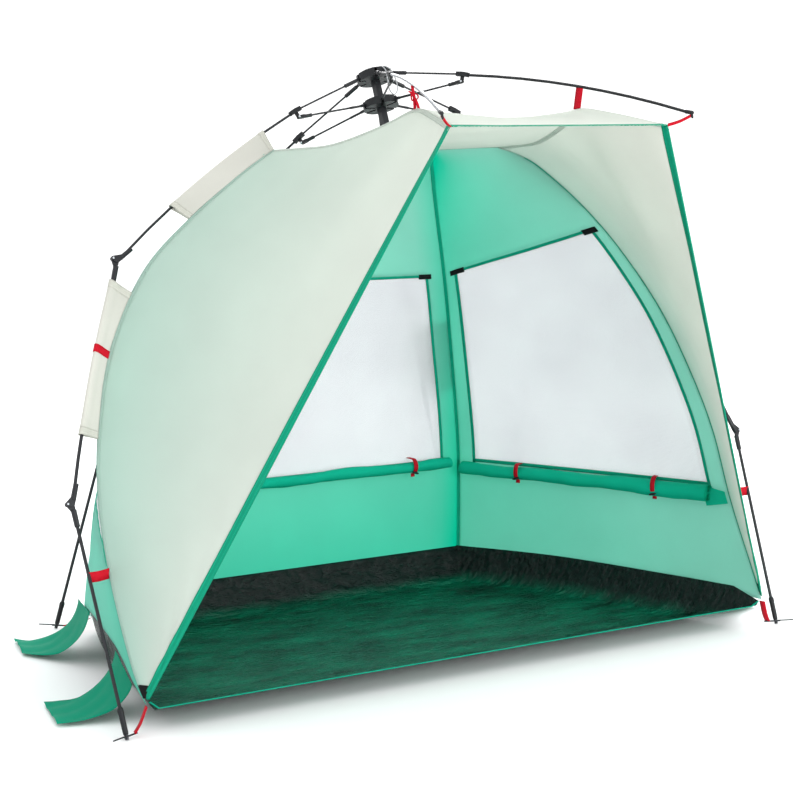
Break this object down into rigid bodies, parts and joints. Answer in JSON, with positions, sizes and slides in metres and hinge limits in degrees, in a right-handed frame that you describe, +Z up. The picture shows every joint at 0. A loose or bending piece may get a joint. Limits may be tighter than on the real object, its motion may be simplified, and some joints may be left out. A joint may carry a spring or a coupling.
{
  "type": "pop up tent",
  "caption": "Pop up beach shelter with a six-arm umbrella hub, jointed legs, white canopy, green walls with mesh windows and a tub floor.",
  "frame": {"origin": "on the ground under the middle of the flat floor, in the tent's plane of symmetry", "axes": "+Z up, +X to the right seen from the open front, -Y out of the open front"},
  "size_m": [2.4806, 1.6039, 1.7331],
  "materials": {
    "black_plastic": "moulded black plastic fittings with a satin surface",
    "black_pole": "dark grey wrapped glass fibre and painted steel poles, satin",
    "steel": "zinc plated steel",
    "white_fabric": "thin coated polyester in warm white, fine plain weave",
    "green_fabric": "thin coated polyester in sea green, fine plain weave",
    "green_binding": "darker green polyester of the bindings, rolled blinds and sand flaps",
    "groundsheet": "dark green coated groundsheet, glossy and creased",
    "window_mesh": "fine light grey mesh",
    "red_webbing": "narrow red webbing"
  },
  "bodies": {
    "root": {"hub_housing": "black_plastic", "hub_cap": "black_plastic", "hub_hinge_ring": "steel", "back_wall": "green_fabric", "back_window": "window_mesh", "back_blind": "green_binding", "front_roof": "white_fabric", "floor_tub": "groundsheet", "side_wall_left": "green_fabric", "side_window_left": "window_mesh", "side_blind_left": "green_binding", "front_wing_left": "white_fabric", "sand_flap_front_left": "green_binding", "sand_flap_back_left": "green_binding", "side_wall_right": "green_fabric", "side_window_right": "window_mesh", "side_blind_right": "green_binding", "front_wing_right": "white_fabric", "sand_flap_front_right": "green_binding", "sand_flap_back_right": "green_binding"},
    "lower_hub": {"lower_hub": "black_plastic", "centre_post": "black_pole"},
    "arm_front_left": {"rib_front_left": "black_pole", "elbow_clip_front_left": "black_plastic", "upper_pole_front_left": "black_pole"},
    "brace_front_left": {"brace_front_left": "black_pole"},
    "middle_leg_front_left": {"middle_pole_front_left": "black_pole"},
    "lower_leg_front_left": {"lower_pole_front_left": "black_pole", "foot_pin_front_left": "steel"},
    "arm_front_right": {"rib_front_right": "black_pole", "elbow_clip_front_right": "black_plastic", "upper_pole_front_right": "black_pole"},
    "brace_front_right": {"brace_front_right": "black_pole"},
    "middle_leg_front_right": {"middle_pole_front_right": "black_pole"},
    "lower_leg_front_right": {"lower_pole_front_right": "black_pole", "foot_pin_front_right": "steel"},
    "arm_back_left": {"rib_back_left": "black_pole", "elbow_clip_back_left": "black_plastic", "upper_pole_back_left": "black_pole"},
    "brace_back_left": {"brace_back_left": "black_pole"},
    "middle_leg_back_left": {"middle_pole_back_left": "black_pole"},
    "lower_leg_back_left": {"lower_pole_back_left": "black_pole", "foot_pin_back_left": "steel"},
    "arm_back_right": {"rib_back_right": "black_pole", "elbow_clip_back_right": "black_plastic", "upper_pole_back_right": "black_pole"},
    "brace_back_right": {"brace_back_right": "black_pole"},
    "middle_leg_back_right": {"middle_pole_back_right": "black_pole"},
    "lower_leg_back_right": {"lower_pole_back_right": "black_pole", "foot_pin_back_right": "steel"},
    "arm_eave_left": {"rib_eave_left": "black_pole", "elbow_clip_eave_left": "black_plastic", "eave_pole_left": "black_pole", "eave_cap_left": "black_plastic"},
    "brace_eave_left": {"brace_eave_left": "black_pole"},
    "arm_eave_right": {"rib_eave_right": "black_pole", "elbow_clip_eave_right": "black_plastic", "eave_pole_right": "black_pole", "eave_cap_right": "black_plastic"},
    "brace_eave_right": {"brace_eave_right": "black_pole"}
  },
  "joints": [
    {"name": "fold_front_left", "type": "hinge", "parent": "root", "child": "arm_front_left", "pos_m": [-0.04479, -0.024, 1.69838], "axis": [-0.0958, -0.9229, 0.3729], "range_deg": [0, 50], "deforming": ["back_wall", "back_window", "back_blind", "front_roof", "floor_tub", "side_wall_left", "side_window_left", "side_blind_left", "front_wing_left", "sand_flap_front_left", "sand_flap_back_left", "side_wall_right", "side_window_right", "side_blind_right", "front_wing_right", "sand_flap_front_right", "sand_flap_back_right"]},
    {"name": "brace_fold_front_left", "type": "hinge", "parent": "arm_front_left", "child": "brace_front_left", "pos_m": [-0.27572, -0.04609, 1.58436], "axis": [-0.0958, -0.9229, 0.3729], "range_deg": [-140, 0]},
    {"name": "upper_knuckle_front_left", "type": "hinge", "parent": "arm_front_left", "child": "middle_leg_front_left", "pos_m": [-0.92382, -0.13238, 1.20419], "axis": [-0.0958, -0.9229, 0.3729], "range_deg": [-150, 0]},
    {"name": "lower_knuckle_front_left", "type": "hinge", "parent": "middle_leg_front_left", "child": "lower_leg_front_left", "pos_m": [-1.17938, -0.35684, 0.58295], "axis": [-0.0958, -0.9229, 0.3729], "range_deg": [-100, 0]},
    {"name": "fold_front_right", "type": "hinge", "parent": "root", "child": "arm_front_right", "pos_m": [0.04479, -0.024, 1.69838], "axis": [-0.0958, 0.9229, -0.3729], "range_deg": [0, 50]},
    {"name": "brace_fold_front_right", "type": "hinge", "parent": "arm_front_right", "child": "brace_front_right", "pos_m": [0.27572, -0.04609, 1.58436], "axis": [-0.0958, 0.9229, -0.3729], "range_deg": [-140, 0]},
    {"name": "upper_knuckle_front_right", "type": "hinge", "parent": "arm_front_right", "child": "middle_leg_front_right", "pos_m": [0.92382, -0.13238, 1.20419], "axis": [-0.0958, 0.9229, -0.3729], "range_deg": [-150, 0]},
    {"name": "lower_knuckle_front_right", "type": "hinge", "parent": "middle_leg_front_right", "child": "lower_leg_front_right", "pos_m": [1.17938, -0.35684, 0.58295], "axis": [-0.0958, 0.9229, -0.3729], "range_deg": [-100, 0]},
    {"name": "fold_back_left", "type": "hinge", "parent": "root", "child": "arm_back_left", "pos_m": [-0.02385, 0.00738, 1.6857], "axis": [-0.848, -0.4913, 0.1985], "range_deg": [0, 50]},
    {"name": "brace_fold_back_left", "type": "hinge", "parent": "arm_back_left", "child": "brace_back_left", "pos_m": [-0.14679, 0.1471, 1.5063], "axis": [-0.848, -0.4913, 0.1985], "range_deg": [-140, 0]},
    {"name": "upper_knuckle_back_left", "type": "hinge", "parent": "arm_back_left", "child": "middle_leg_back_left", "pos_m": [-0.48154, 0.52905, 1.02159], "axis": [-0.848, -0.4913, 0.1985], "range_deg": [-150, 0]},
    {"name": "lower_knuckle_back_left", "type": "hinge", "parent": "middle_leg_back_left", "child": "lower_leg_back_left", "pos_m": [-0.60676, 0.58683, 0.62965], "axis": [-0.848, -0.4913, 0.1985], "range_deg": [-80, 0]},
    {"name": "fold_back_right", "type": "hinge", "parent": "root", "child": "arm_back_right", "pos_m": [0.02385, 0.00738, 1.6857], "axis": [-0.848, 0.4913, -0.1985], "range_deg": [0, 50]},
    {"name": "brace_fold_back_right", "type": "hinge", "parent": "arm_back_right", "child": "brace_back_right", "pos_m": [0.14679, 0.1471, 1.5063], "axis": [-0.848, 0.4913, -0.1985], "range_deg": [-140, 0]},
    {"name": "upper_knuckle_back_right", "type": "hinge", "parent": "arm_back_right", "child": "middle_leg_back_right", "pos_m": [0.48154, 0.52905, 1.02159], "axis": [-0.848, 0.4913, -0.1985], "range_deg": [-150, 0]},
    {"name": "lower_knuckle_back_right", "type": "hinge", "parent": "middle_leg_back_right", "child": "lower_leg_back_right", "pos_m": [0.60676, 0.58683, 0.62965], "axis": [-0.848, 0.4913, -0.1985], "range_deg": [-80, 0]},
    {"name": "fold_eave_left", "type": "hinge", "parent": "root", "child": "arm_eave_left", "pos_m": [-0.02008, -0.06534, 1.71509], "axis": [0.8949, -0.4137, 0.1671], "range_deg": [0, 50]},
    {"name": "brace_fold_eave_left", "type": "hinge", "parent": "arm_eave_left", "child": "brace_eave_left", "pos_m": [-0.1236, -0.30055, 1.68717], "axis": [0.8949, -0.4137, 0.1671], "range_deg": [-140, 0]},
    {"name": "fold_eave_right", "type": "hinge", "parent": "root", "child": "arm_eave_right", "pos_m": [0.02008, -0.06534, 1.71509], "axis": [0.8949, 0.4137, -0.1671], "range_deg": [0, 50]},
    {"name": "brace_fold_eave_right", "type": "hinge", "parent": "arm_eave_right", "child": "brace_eave_right", "pos_m": [0.1236, -0.30055, 1.68717], "axis": [0.8949, 0.4137, -0.1671], "range_deg": [-140, 0]},
    {"name": "lower_hub_slide", "type": "slide", "parent": "root", "child": "lower_hub", "axis": [0, -0.3746, -0.9272], "range_m": [0, 0.3861]}
  ],
  "couplings": [
    {"joint": "brace_fold_front_left", "follows": "fold_front_left", "ratio": -2.8},
    {"joint": "upper_knuckle_front_left", "follows": "fold_front_left", "ratio": -3},
    {"joint": "lower_knuckle_front_left", "follows": "fold_front_left", "ratio": -2},
    {"joint": "fold_front_right", "follows": "fold_front_left", "ratio": 1},
    {"joint": "brace_fold_front_right", "follows": "fold_front_left", "ratio": -2.8},
    {"joint": "upper_knuckle_front_right", "follows": "fold_front_left", "ratio": -3},
    {"joint": "lower_knuckle_front_right", "follows": "fold_front_left", "ratio": -2},
    {"joint": "fold_back_left", "follows": "fold_front_left", "ratio": 1},
    {"joint": "brace_fold_back_left", "follows": "fold_front_left", "ratio": -2.8},
    {"joint": "upper_knuckle_back_left", "follows": "fold_front_left", "ratio": -3},
    {"joint": "lower_knuckle_back_left", "follows": "fold_front_left", "ratio": -1.6},
    {"joint": "fold_back_right", "follows": "fold_front_left", "ratio": 1},
    {"joint": "brace_fold_back_right", "follows": "fold_front_left", "ratio": -2.8},
    {"joint": "upper_knuckle_back_right", "follows": "fold_front_left", "ratio": -3},
    {"joint": "lower_knuckle_back_right", "follows": "fold_front_left", "ratio": -1.6},
    {"joint": "fold_eave_left", "follows": "fold_front_left", "ratio": 1},
    {"joint": "brace_fold_eave_left", "follows": "fold_front_left", "ratio": -2.8},
    {"joint": "fold_eave_right", "follows": "fold_front_left", "ratio": 1},
    {"joint": "brace_fold_eave_right", "follows": "fold_front_left", "ratio": -2.8},
    {"joint": "lower_hub_slide", "follows": "fold_front_left", "m_per_rad": 0.44232}
  ]
}
